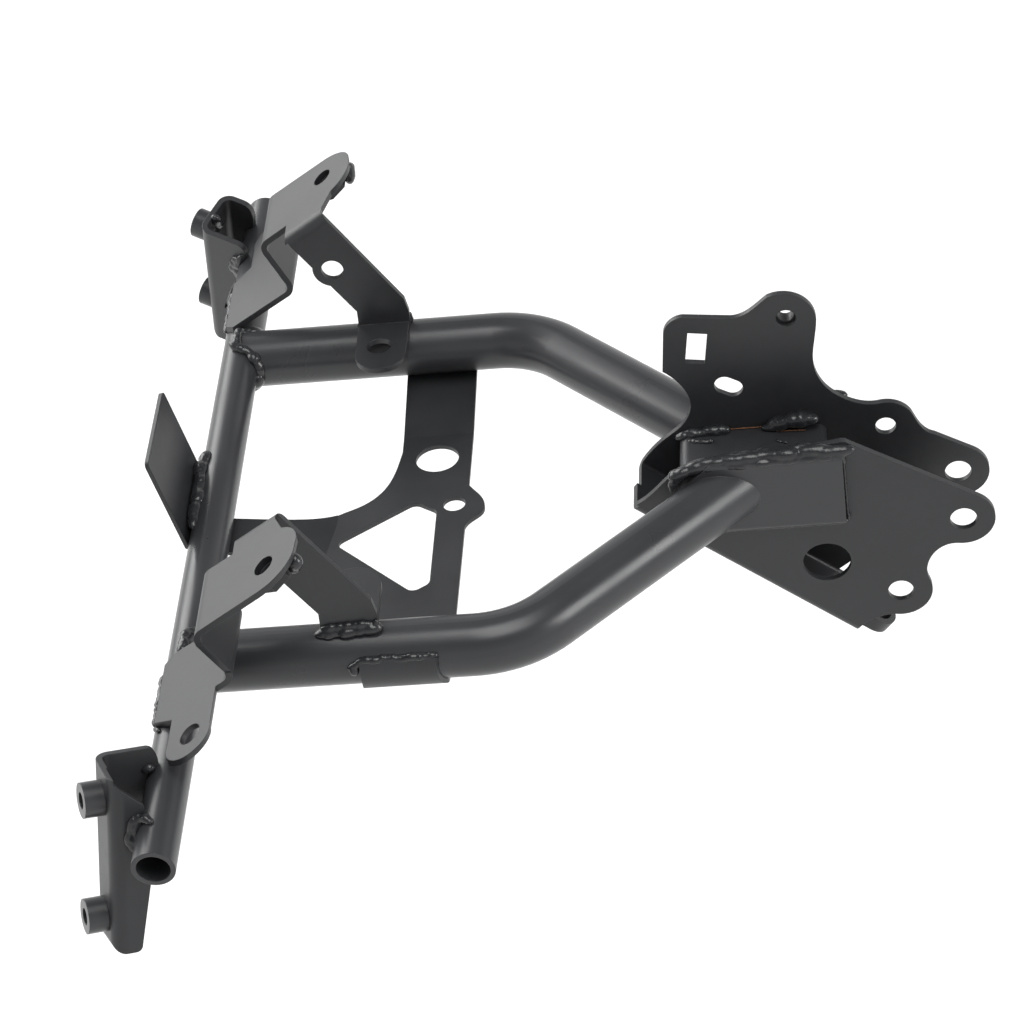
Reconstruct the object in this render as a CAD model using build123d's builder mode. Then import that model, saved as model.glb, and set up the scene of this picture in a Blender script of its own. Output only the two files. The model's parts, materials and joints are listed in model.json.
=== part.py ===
import os
from math import cos, radians, sin, tan

from build123d import *

os.makedirs("parts", exist_ok=True)

# Millimetres. X runs across the bike with +X to its left, Y to the rear and Z up.
# The origin is the middle of the head bolt's hole on the mirror plane.

# Tubes
REACH = 318.75  # cross tube axis to head bolt axis, along the bike
DROP = 25.1  # head bolt axis below the cross tube axis
CROSS_LENGTH = 442.0
CROSS_OD = 17.3
CROSS_WALL = 2.0
ARM_OD = 25.4
ARM_WALL = 2.3
ARM_X = 103.3  # arm axis from the mirror plane
ARM_DROP = 1.67  # arm axis below the cross tube axis
ARM_BEND = 45.0
ARM_BEND_R = 44.0
LAND_Y = -102.25  # where the arm axis meets its flattened end

# Flattened ends of the arms
PADDLE_T = 4.8
PADDLE_H = 37.0
PADDLE_FRONT = -120.0
PADDLE_REAR = -49.2
PADDLE_NOSE = ((1.5, 5.0), (6.0, 10.0))  # back from its front, up and down from the arm axis
PADDLE_FLARE = 16.0

# Sheet
SHEET = 2.6
FOLD_OUT = 4.0
BROW_FOLD = 6.0  # outer radius where the shelf turns into the step
HEEL_FOLD = 3.4  # inner radius where the step turns into the foot
STRUT_FOLD = 5.0  # outer radius where the shelf turns into the strut
HEAD_GAP = 29.4  # between the inner faces of the head plates

# Head bracket
FOLD_ANGLE = 40.2  # slope of the web
FOLD_Y = -135.75
FOLD_Z = 13.6
WEB_LEAD = 3.7
WEB_LENGTH = 118.2
WEB_TAB_HALF = 10.0
WEB_TAB_REACH = 18.0
WEB_RIM = 3.6
LOBE_R = 13.4
HEAD_HOLE = 11.4
SIDE_HOLE = 11.0
BIG_HOLE = 20.6
SIDE_HOLE_AT = (-27.95, -37.7)
BIG_HOLE_AT = (-58.65, -18.8)
NUT_HOLE_AT = (-68.45, 88.0)
SMALL_HOLE_AT = (-29.85, 27.7)
SMALL_HOLE = 8.8
NUT_HOLE = 8.4
THREAD_HOLE = 6.8
SLOT_AT = (-94.75, 54.8)
SLOT_SIZE = (12.6, 8.6)
SLOT_TURN = -30.0
WINDOW_AT = (-106.7, 76.0)
WINDOW_SIZE = (8.3, 15.4)
WINDOW_TURN = -8.5

# Stiffener
GUSSET_FRONT = -117.2
GUSSET_REAR = -55.0
GUSSET_TOP = 31.9
GUSSET_SKIRT = 21.4  # drop of its front edge
GUSSET_LIP = 9.4  # drop of its rear edge

# Upper brackets, placed from the cross tube axis and outward from the arm's
SHELF_SLOPE = 33.0
FOOT_SLOPE = 31.8
STEP_SLOPE = 64.0
STEP_LENGTH = 26.0
FOOT_BACK = 38.3
SHELF_LENGTH = 62.0
TOE_LENGTH = 12.0  # foot beyond the cross tube's top
BRACKET_SPAN = 82.0
SHELF_HOLE = 9.2
SHELF_HOLE_AT = (31.1, 46.4)
FOOT_HOLE = 10.0
FOOT_HOLE_OUT = 66.2
FOOT_HOLE_BACK = 17.4  # from the step's heel
STRUT_HOLE = 10.0
STRUT_HOLE_AT = (49.3, 45.0)
STRUT_LOBE_R = 9.2
TAB_END_R = 11.5
TAB_REACH = 35.3
TAB_BACK = 68.0
TAB_HOLE = 11.0
TAB_HOLE_AT = (18.3, 67.0)

# End brackets
BOX_WIDTH = 25.66
BOX_HEIGHT = 79.7
BOX_DEPTH = 40.0
BOX_INSET = 42.7  # its front corner from the cross tube's end
BOX_AHEAD = 25.3
BOX_RISE = 21.6
BOX_FOLD = 6.0
BOX_TOE = 5.0  # round of its lower front edge
BOX_HEEL = 2.6  # round of its outer wall's lower rear corner
BOSS_OD = 14.1
BOSS_LENGTH = 8.1
BOSS_AT = (12.4, 63.8)  # down from the bracket's top
BOSS_ACROSS = 12.8

# Front tab
FRONT_TAB_LEAN = 10.8
FRONT_TAB_T = 1.8
FRONT_TAB_LEFT = 30.6
FRONT_TAB_RIGHT = -20.5
FRONT_TAB_UP = 48.2
FRONT_TAB_DOWN = 0.6

# Lower plate
PLATE_SAG = 4.1
PLATE_FOLD_X = -58.0
PLATE_T = 2.0
PLATE_RISE = 9.26  # slope of its front strip
WRAP_FROM = 25.0  # where the wrap round the left arm starts
PLATE_HOLE = 19.2
PLATE_HOLE_AT = (-40.8, 91.6)
EAR_HOLE = 9.8
EAR_HOLE_AT = (-7.0, 101.0)

# Nuts
NUT_FLATS = 13.0
NUT_HEIGHT = 4.6
NUT_FLANGE_OD = 19.0
NUT_FLANGE_T = 1.4

# Weld beads
WELD_R = 3.2
HEAD_WELD_FRONT = -113.0
GUSSET_WELD_R = 2.5
GUSSET_WELD_LENGTH = 55.0
TAB_WELD_LENGTH = 41.0
TAB_WELD_UP = 7.0

plate_face = HEAD_GAP / 2 + SHEET
paddle_face = plate_face + PADDLE_T
arm_z = DROP - ARM_DROP
arm_top = arm_z + ARM_OD / 2
cross_r = CROSS_OD / 2
bend_y = LAND_Y - (ARM_X - paddle_face) / tan(radians(ARM_BEND))
run_out = ARM_X - plate_face + ARM_OD
arm_route = (
    (ARM_X, -REACH),
    (ARM_X, bend_y),
    (ARM_X - run_out, bend_y + run_out / tan(radians(ARM_BEND))),
)


def front(y, z):
    """A side-view place counted from the cross tube axis."""
    return (y - REACH, z + DROP)


def rim(centre, radius, angle):
    """A point on a circle, its angle counted from the rear up."""
    return (centre[0] + radius * cos(radians(angle)), centre[1] + radius * sin(radians(angle)))


def round_off(plane, radius, length):
    """Bar that rounds off an edge through the plane's origin, the material lying at +x and +y."""
    near = radius * (1 - cos(radians(45)))
    with BuildPart() as waste:
        with BuildSketch(plane):
            with BuildLine():
                Polyline((0, radius), (-1, radius), (-1, -1), (radius, -1), (radius, 0))
                ThreePointArc((radius, 0), (near, near), (0, radius))
            make_face()
        extrude(amount=length)
    return waste.part


def along(start, angle, length):
    """A side-view point at a slope and a distance from another."""
    return rim(start, length, angle)


# Cross tube
with BuildPart() as cross_tube:
    with BuildSketch(Plane.YZ.offset(-CROSS_LENGTH / 2)):
        with Locations(front(0, 0)):
            Circle(cross_r)
            Circle(cross_r - CROSS_WALL, mode=Mode.SUBTRACT)
    extrude(amount=CROSS_LENGTH)

# Arms: the bore ends where the tube is pressed flat
with BuildPart() as arm_bore:
    with BuildLine(Plane.XY.offset(arm_z)):
        FilletPolyline(*arm_route, radius=ARM_BEND_R)
    with BuildSketch(Plane(origin=(ARM_X, -REACH, arm_z), z_dir=(0, 1, 0))):
        Circle(ARM_OD / 2 - ARM_WALL)
    sweep()
    split(bisect_by=Plane.YZ.offset(paddle_face), keep=Keep.TOP)

with BuildPart() as left_arm:
    with BuildLine(Plane.XY.offset(arm_z)):
        FilletPolyline(*arm_route, radius=ARM_BEND_R)
    with BuildSketch(Plane(origin=(ARM_X, -REACH, arm_z), z_dir=(0, 1, 0))):
        Circle(ARM_OD / 2)
    sweep()
    split(bisect_by=Plane.YZ.offset(plate_face), keep=Keep.TOP)
    # flattened end: two walls pressed together, its edges round
    paddle_start = (plate_face + PADDLE_T / 2, PADDLE_FRONT, arm_z)
    with BuildSketch(Plane(origin=paddle_start, x_dir=(1, 0, 0), z_dir=(0, 1, 0))):
        SlotOverall(PADDLE_H, PADDLE_T, rotation=90)
    extrude(amount=PADDLE_REAR - PADDLE_FRONT)
    # its nose stays inside the tube's outline, then it flares
    with BuildSketch(Plane.YZ.offset(plate_face - 1)):
        for side in (1, -1):
            with BuildLine():
                Polyline(
                    (PADDLE_FRONT - 1, arm_z),
                    *[(PADDLE_FRONT + back, arm_z + side * rise) for back, rise in PADDLE_NOSE],
                    (PADDLE_FRONT + PADDLE_FLARE, arm_z + side * PADDLE_H / 2),
                    (PADDLE_FRONT + PADDLE_FLARE, arm_z + side * PADDLE_H),
                    (PADDLE_FRONT - 1, arm_z + side * PADDLE_H),
                    close=True,
                )
            make_face()
    extrude(amount=PADDLE_T + 1, mode=Mode.SUBTRACT)
    add(arm_bore.part, mode=Mode.SUBTRACT)
    # coped round the cross tube
    with BuildSketch(Plane.YZ):
        with Locations(front(0, 0)):
            Circle(cross_r)
    extrude(amount=ARM_X + ARM_OD, mode=Mode.SUBTRACT)

with BuildPart() as right_arm:
    mirror(left_arm.part, about=Plane.YZ)

# Head bracket: the channel's profile first, then each plate's outline
fold_dir = Vector(0, cos(radians(FOLD_ANGLE)), -sin(radians(FOLD_ANGLE)))
web_normal = Vector(0, sin(radians(FOLD_ANGLE)), cos(radians(FOLD_ANGLE)))
fold_start = Vector(0, FOLD_Y, FOLD_Z) - fold_dir * WEB_LEAD
fold_end = fold_start + fold_dir * WEB_LENGTH
# raw lengths of the plates, trimmed by their outlines
leg = 125.0
beyond_front = 75.0
beyond_rear = 40.0

with BuildPart() as head_outline:
    # left plate
    with BuildSketch(Plane.YZ):
        with BuildLine():
            low_front = (fold_start.Y, fold_start.Z)
            low_rear = (fold_end.Y, fold_end.Z)
            corner_low = (low_rear[0] + 5.4, low_rear[1] + 6.1)
            corner_high = (low_rear[0] + 10.7, low_rear[1] + 8.4)
            under_front = along(low_front, -90 - FOLD_ANGLE, 6)
            under_rear = along(low_rear, -90 - FOLD_ANGLE, 6)
            Polyline(low_rear, under_rear, under_front, (-139.5, 17.5), (-136.15, 20.4))
            Spline((-136.15, 20.4), (-125.95, 29.3), (-116.85, 37.1), (-108.25, 39.5), (-89.35, 40.5))
            Line((-89.35, 40.5), (-50.6, 45.9))
            ThreePointArc((-50.6, 45.9), (-48.2, 46.1), (-46.25, 45.0))
            Line((-46.25, 45.0), rim((0, 0), LOBE_R, 58.5))
            ThreePointArc(rim((0, 0), LOBE_R, 58.5), rim((0, 0), LOBE_R, -20), rim((0, 0), LOBE_R, -98))
            Spline(
                rim((0, 0), LOBE_R, -98),
                (-11.35, -16.0),
                (-15.9, -23.8),
                rim(SIDE_HOLE_AT, LOBE_R + 0.2, 20),
            )
            ThreePointArc(
                rim(SIDE_HOLE_AT, LOBE_R + 0.2, 20),
                rim(SIDE_HOLE_AT, LOBE_R + 0.2, -40),
                rim(SIDE_HOLE_AT, LOBE_R + 0.2, -103),
            )
            Spline(rim(SIDE_HOLE_AT, LOBE_R + 0.2, -103), corner_high, corner_low, low_rear)
        make_face()
    extrude(amount=plate_face + 1)
    # right plate
    with BuildSketch(Plane.YZ):
        with BuildLine():
            Polyline(low_rear, under_rear, under_front, (-139.2, 10.5), (-136.7, 14.3))
            Spline(
                (-136.7, 14.3),
                (-132.9, 20.0),
                (-124.4, 28.9),
                (-115.0, 37.2),
                (-111.55, 47.1),
                (-114.95, 57.5),
                (-121.85, 65.1),
            )
            Line((-121.85, 65.1), (-119.85, 84.5))
            ThreePointArc((-119.85, 84.5), (-117.2, 89.7), (-111.3, 92.4))
            Line((-111.3, 92.4), (-91.25, 90.0))
            Spline((-91.25, 90.0), (-86.9, 90.8), (-82.6, 93.3), rim(NUT_HOLE_AT, 13.3, 123))
            ThreePointArc(
                rim(NUT_HOLE_AT, 13.3, 123), rim(NUT_HOLE_AT, 11.9, 62), rim(NUT_HOLE_AT, 12.7, -8)
            )
            Spline(
                rim(NUT_HOLE_AT, 12.7, -8),
                (-57.3, 75.7),
                (-58.4, 63.3),
                (-53.4, 50.1),
                (-46.3, 43.8),
                (-38.9, 40.4),
                rim(SMALL_HOLE_AT, 12.6, 97),
            )
            ThreePointArc(
                rim(SMALL_HOLE_AT, 12.6, 97), rim(SMALL_HOLE_AT, 12.7, 65), rim(SMALL_HOLE_AT, 12.8, 31)
            )
            Spline(rim(SMALL_HOLE_AT, 12.8, 31), (-16.5, 28.9), (-14.2, 24.9), (-9.2, 21.2))
            Line((-9.2, 21.2), rim((0, 0), LOBE_R, 60))
            ThreePointArc(rim((0, 0), LOBE_R, 60), rim((0, 0), LOBE_R, -20), rim((0, 0), LOBE_R, -98))
            Spline(
                rim((0, 0), LOBE_R, -98),
                (-11.35, -16.0),
                (-15.9, -23.8),
                rim(SIDE_HOLE_AT, LOBE_R + 0.2, 20),
            )
            ThreePointArc(
                rim(SIDE_HOLE_AT, LOBE_R + 0.2, 20),
                rim(SIDE_HOLE_AT, LOBE_R + 0.2, -40),
                rim(SIDE_HOLE_AT, LOBE_R + 0.2, -103),
            )
            Spline(rim(SIDE_HOLE_AT, LOBE_R + 0.2, -103), corner_high, corner_low, low_rear)
        make_face()
    extrude(amount=-plate_face - 1)

with BuildPart() as head_bracket:
    with BuildSketch(Plane(origin=fold_start, x_dir=(1, 0, 0), z_dir=fold_dir)) as channel:
        with Locations((0, -leg / 2)):
            Rectangle(2 * plate_face, leg)
        fillet(channel.vertices().group_by(Axis.Y)[-1], FOLD_OUT)
        with Locations((0, -leg / 2 - SHEET)):
            Rectangle(HEAD_GAP, leg, mode=Mode.SUBTRACT)
        corners = channel.vertices().filter_by(lambda v: abs(v.Y + SHEET) < 0.001)
        fillet(corners, FOLD_OUT - SHEET)
    extrude(amount=WEB_LENGTH)
    # before and beyond the web the plates go on alone
    with BuildSketch(Plane(origin=fold_start - fold_dir * beyond_front, x_dir=(1, 0, 0), z_dir=fold_dir)):
        for side in (1, -1):
            with Locations((side * (plate_face - SHEET / 2), -leg / 2 - FOLD_OUT)):
                Rectangle(SHEET, leg)
    extrude(amount=WEB_LENGTH + beyond_front + beyond_rear)
    add(head_outline.part, mode=Mode.INTERSECT)
    # tab at the web's rear end, its rim turned up
    web_plane = Plane(origin=fold_end, x_dir=(1, 0, 0), z_dir=web_normal)
    with BuildSketch(web_plane):
        with Locations((0, (WEB_TAB_REACH - WEB_TAB_HALF - 2) / 2)):
            Rectangle(2 * WEB_TAB_HALF, WEB_TAB_REACH - WEB_TAB_HALF + 2)
        with Locations((0, WEB_TAB_REACH - WEB_TAB_HALF)):
            Circle(WEB_TAB_HALF)
    extrude(amount=SHEET)
    with BuildSketch(web_plane.offset(SHEET)):
        with Locations((0, (WEB_TAB_REACH - WEB_TAB_HALF) / 2)):
            Rectangle(2 * WEB_TAB_HALF, WEB_TAB_REACH - WEB_TAB_HALF)
            Rectangle(2 * (WEB_TAB_HALF - SHEET), WEB_TAB_REACH - WEB_TAB_HALF, mode=Mode.SUBTRACT)
        with Locations((0, WEB_TAB_REACH - WEB_TAB_HALF)):
            Circle(WEB_TAB_HALF)
            Circle(WEB_TAB_HALF - SHEET, mode=Mode.SUBTRACT)
        with Locations((0, (WEB_TAB_REACH - WEB_TAB_HALF) / 2)):
            Rectangle(2 * (WEB_TAB_HALF - SHEET), WEB_TAB_REACH - WEB_TAB_HALF, mode=Mode.SUBTRACT)
    extrude(amount=WEB_RIM)
    # holes through both plates
    with BuildSketch(Plane.YZ):
        Circle(HEAD_HOLE / 2)
        with Locations(SIDE_HOLE_AT):
            Circle(SIDE_HOLE / 2)
        with Locations(BIG_HOLE_AT):
            Circle(BIG_HOLE / 2)
    extrude(amount=plate_face + 1, both=True, mode=Mode.SUBTRACT)
    # holes of the right plate
    with BuildSketch(Plane.YZ):
        with Locations(NUT_HOLE_AT):
            Circle(NUT_HOLE / 2)
        with Locations(SMALL_HOLE_AT):
            Circle(SMALL_HOLE / 2)
        with Locations(SLOT_AT):
            SlotOverall(*SLOT_SIZE, rotation=SLOT_TURN)
        with Locations(WINDOW_AT):
            Rectangle(*WINDOW_SIZE, rotation=WINDOW_TURN)
    extrude(amount=-plate_face - 1, mode=Mode.SUBTRACT)
    # the right plate's lower rear corner is cut back behind the web
    with BuildSketch(Plane.YZ.offset(-HEAD_GAP / 2)):
        with BuildLine():
            Polyline(
                (fold_end.Y - 9.0, fold_end.Z + 7.2),
                (fold_end.Y - 0.2, fold_end.Z + 13.8),
                (fold_end.Y + 6.0, fold_end.Z + 14.8),
                (fold_end.Y + 13.0, fold_end.Z + 8.0),
                (fold_end.Y + 13.0, fold_end.Z - 8.0),
                (fold_end.Y - 4.0, fold_end.Z - 4.0),
                close=True,
            )
        make_face()
    extrude(amount=-plate_face, mode=Mode.SUBTRACT)

# Stiffener between the plates
with BuildPart() as head_gusset:
    with BuildSketch(Plane.YZ.offset(-HEAD_GAP / 2)):
        with BuildLine():
            FilletPolyline(
                (GUSSET_FRONT - 2.3, GUSSET_TOP - GUSSET_SKIRT),
                (GUSSET_FRONT, GUSSET_TOP),
                (GUSSET_REAR, GUSSET_TOP - 0.4),
                (GUSSET_REAR, GUSSET_TOP - GUSSET_LIP),
                radius=FOLD_OUT,
            )
            offset(amount=SHEET, side=Side.RIGHT)
        make_face()
    extrude(amount=HEAD_GAP)


# Nut with a round flange, its flange face on the plane of the sheet
def nut_on(place):
    with BuildPart() as nut:
        with BuildSketch(place):
            Circle(NUT_FLANGE_OD / 2)
        extrude(amount=NUT_FLANGE_T)
        with BuildSketch(place.offset(NUT_FLANGE_T)):
            RegularPolygon(NUT_FLATS / 2, 6, major_radius=False)
        extrude(amount=NUT_HEIGHT)
        with BuildSketch(place):
            Circle(THREAD_HOLE / 2)
        extrude(amount=NUT_FLANGE_T + NUT_HEIGHT, mode=Mode.SUBTRACT)
    return nut.part


with BuildPart() as head_nut:
    add(nut_on(Plane(origin=(-plate_face, *NUT_HOLE_AT), z_dir=(-1, 0, 0))))

# Upper brackets: shelf, step and foot share one profile
foot_dir = Vector(0, cos(radians(FOOT_SLOPE)), sin(radians(FOOT_SLOPE)))
foot_normal = Vector(0, -sin(radians(FOOT_SLOPE)), cos(radians(FOOT_SLOPE)))
heel = foot_normal * (cross_r + SHEET) + foot_dir * FOOT_BACK
heel_at = front(heel.Y, heel.Z)
brow_at = along(heel_at, 180 - STEP_SLOPE, STEP_LENGTH)
toe_at = along(heel_at, 180 + FOOT_SLOPE, FOOT_BACK + TOE_LENGTH)
crest_at = along(brow_at, SHELF_SLOPE, SHELF_LENGTH)


def shelf_z(y):
    """Height of the shelf's top face."""
    return brow_at[1] + (y - brow_at[0]) * tan(radians(SHELF_SLOPE))


strut_out = ARM_X + SHEET / 2
strut_in = ARM_X - SHEET / 2
split_low = heel_at[1] + SHEET
split_high = brow_at[1] - FOLD_OUT
fold_front = 30.3 - REACH
fold_rear = 48.7 - REACH
tab_end_x = ARM_X - TAB_REACH + TAB_END_R

with BuildPart() as left_upper_bracket:
    with BuildSketch(Plane.YZ.offset(strut_in)):
        with BuildLine():
            FilletPolyline(crest_at, brow_at, heel_at, toe_at, radius=(BROW_FOLD, HEEL_FOLD))
            offset(amount=SHEET, side=Side.LEFT)
        make_face()
    extrude(amount=BRACKET_SPAN)
    # shelf outline
    with BuildSketch(Plane.XY.offset(split_high)):
        with Locations((ARM_X + 40, 45 - REACH)):
            Rectangle(180, 120)
        with BuildLine():
            Polyline(
                (ARM_X + 45.8, 45.5 - REACH),
                (ARM_X + 47.2, 5 - REACH),
                (ARM_X + 10.3, 5 - REACH),
                (ARM_X + 10.3, fold_front),
                (strut_in - 1, fold_front),
                (strut_in - 1, fold_rear),
                (ARM_X + 4.5, fold_rear),
                (ARM_X + 13.7, 52.5 - REACH),
            )
            ThreePointArc(
                (ARM_X + 13.7, 52.5 - REACH), (ARM_X + 18.4, 57.6 - REACH), (ARM_X + 26.2, 60.3 - REACH)
            )
            Line((ARM_X + 26.2, 60.3 - REACH), (ARM_X + 33.5, 59.7 - REACH))
            ThreePointArc(
                (ARM_X + 33.5, 59.7 - REACH), (ARM_X + 42.3, 54.6 - REACH), (ARM_X + 45.8, 45.5 - REACH)
            )
        make_face(mode=Mode.SUBTRACT)
    extrude(amount=70, mode=Mode.SUBTRACT)
    # sides of the step
    with BuildSketch(Plane.XZ.offset(REACH)):
        with Locations((ARM_X + 40, (split_low + split_high) / 2)):
            Rectangle(180, split_high - split_low)
        with BuildLine():
            Polyline(
                (ARM_X + 8.2, split_low),
                (ARM_X + 45, split_low),
                (ARM_X + 47.2, split_high),
                (ARM_X + 10.3, split_high),
                close=True,
            )
        make_face(mode=Mode.SUBTRACT)
    extrude(amount=-45, mode=Mode.SUBTRACT)
    # foot outline
    with BuildSketch(Plane.XY.offset(split_low)):
        with Locations((ARM_X + 40, 5 - REACH)):
            Rectangle(180, 100)
        with BuildLine():
            Polyline(
                (ARM_X + FOOT_HOLE_OUT, 1.7 - REACH),
                (ARM_X + 50.7, 1.7 - REACH),
                (ARM_X + 46.0, -7.0 - REACH),
                (ARM_X + 12.0, -7.0 - REACH),
                (ARM_X + 8.0, -3.0 - REACH),
                (ARM_X + 8.2, 40 - REACH),
                (ARM_X + 45.0, 40 - REACH),
                (ARM_X + 45.7, 20.8 - REACH),
                (ARM_X + FOOT_HOLE_OUT, 20.8 - REACH),
            )
            ThreePointArc(
                (ARM_X + FOOT_HOLE_OUT, 20.8 - REACH),
                (ARM_X + FOOT_HOLE_OUT + 12.0, 11.2 - REACH),
                (ARM_X + FOOT_HOLE_OUT, 1.7 - REACH),
            )
        make_face(mode=Mode.SUBTRACT)
    extrude(amount=-70, mode=Mode.SUBTRACT)
    # strut down to the arm
    with BuildSketch(Plane.YZ.offset(strut_in)):
        with BuildLine():
            Polyline(
                (fold_front, shelf_z(fold_front)),
                (fold_rear, shelf_z(fold_rear)),
                front(79.0, 26.2),
                front(80.3, 19.0),
                (79.9 - REACH, arm_top),
                (56.4 - REACH, arm_top),
                front(56.8, 21.3),
                close=True,
            )
        make_face()
    extrude(amount=SHEET)
    fold_mid = (fold_front + fold_rear) / 2
    inner_z = shelf_z(fold_mid) - SHEET / cos(radians(SHELF_SLOPE))
    inner_fold = left_upper_bracket.edges().sort_by_distance((strut_out, fold_mid, inner_z))[0]
    fillet(inner_fold, STRUT_FOLD - SHEET)
    fold_line = Plane(
        origin=(strut_in, fold_front - 5, shelf_z(fold_front - 5)),
        x_dir=(1, 0, 0),
        z_dir=(0, cos(radians(SHELF_SLOPE)), sin(radians(SHELF_SLOPE))),
    )
    add(round_off(fold_line, STRUT_FOLD, 2 * (fold_rear - fold_front)), mode=Mode.SUBTRACT)
    # tab on top of the arm
    with BuildSketch(Plane.XY.offset(arm_top)):
        with Locations(((strut_out + tab_end_x) / 2, TAB_BACK - REACH)):
            Rectangle(strut_out - tab_end_x, 2 * TAB_END_R)
        with Locations((tab_end_x, TAB_BACK - REACH)):
            Circle(TAB_END_R)
    extrude(amount=SHEET)
    with BuildSketch(Plane.XY.offset(arm_top)):
        with Locations((ARM_X - TAB_HOLE_AT[0], TAB_HOLE_AT[1] - REACH)):
            Circle(TAB_HOLE / 2)
    extrude(amount=SHEET, mode=Mode.SUBTRACT)
    # holes square to the shelf and to the foot
    shelf_y = SHELF_HOLE_AT[1] - REACH
    shelf_at = (ARM_X + SHELF_HOLE_AT[0], shelf_y, shelf_z(shelf_y))
    shelf_plane = Plane(
        origin=shelf_at,
        x_dir=(1, 0, 0),
        z_dir=(0, -sin(radians(SHELF_SLOPE)), cos(radians(SHELF_SLOPE))),
    )
    with BuildSketch(shelf_plane.offset(1)):
        Circle(SHELF_HOLE / 2)
    extrude(amount=-SHEET - 2, mode=Mode.SUBTRACT)
    foot_hole = heel - foot_dir * FOOT_HOLE_BACK
    with BuildSketch(
        Plane(
            origin=(ARM_X + FOOT_HOLE_OUT, foot_hole.Y - REACH, foot_hole.Z + DROP),
            x_dir=(1, 0, 0),
            z_dir=foot_normal,
        ).offset(1)
    ):
        Circle(FOOT_HOLE / 2)
    extrude(amount=-SHEET - 2, mode=Mode.SUBTRACT)

with BuildPart() as right_upper_bracket:
    mirror(left_upper_bracket.part, about=Plane.YZ)
    # the right strut carries a lobe with one more hole
    with BuildSketch(Plane.YZ.offset(-strut_out)):
        with Locations(front(STRUT_HOLE_AT[0] + 0.3, STRUT_HOLE_AT[1] + 0.3)):
            Circle(STRUT_LOBE_R)
    extrude(amount=SHEET)
    with BuildSketch(Plane.YZ.offset(-strut_out)):
        with Locations(front(*STRUT_HOLE_AT)):
            Circle(STRUT_HOLE / 2)
    extrude(amount=SHEET, mode=Mode.SUBTRACT)

with BuildPart() as left_upper_nut:
    under = shelf_plane.offset(-SHEET)
    add(nut_on(Plane(origin=under.origin, x_dir=(1, 0, 0), z_dir=-under.z_dir)))

with BuildPart() as right_upper_nut:
    mirror(left_upper_nut.part, about=Plane.YZ)

# End brackets: across, back and up are the bracket's own directions
box_across = Vector(0.8821, 0.4310, 0.1904)
box_up = Vector(-0.2708, 0.1303, 0.9538)
box_corner = Vector(CROSS_LENGTH / 2 - BOX_INSET, -BOX_AHEAD - REACH, BOX_RISE + DROP)
box_plane = Plane(origin=box_corner, x_dir=box_across, z_dir=box_up)

side_plane = Plane(origin=box_corner, x_dir=box_plane.y_dir, z_dir=box_across)
face_plane = Plane(origin=box_corner, x_dir=box_across, z_dir=-box_plane.y_dir)
box_slant = (box_across * (BOX_WIDTH + 2) + box_up * 4.0).normalized()
toe_plane = Plane(
    origin=box_corner - box_across - box_up * (BOX_HEIGHT + 0.2),
    x_dir=box_plane.y_dir,
    z_dir=box_slant,
)


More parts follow.
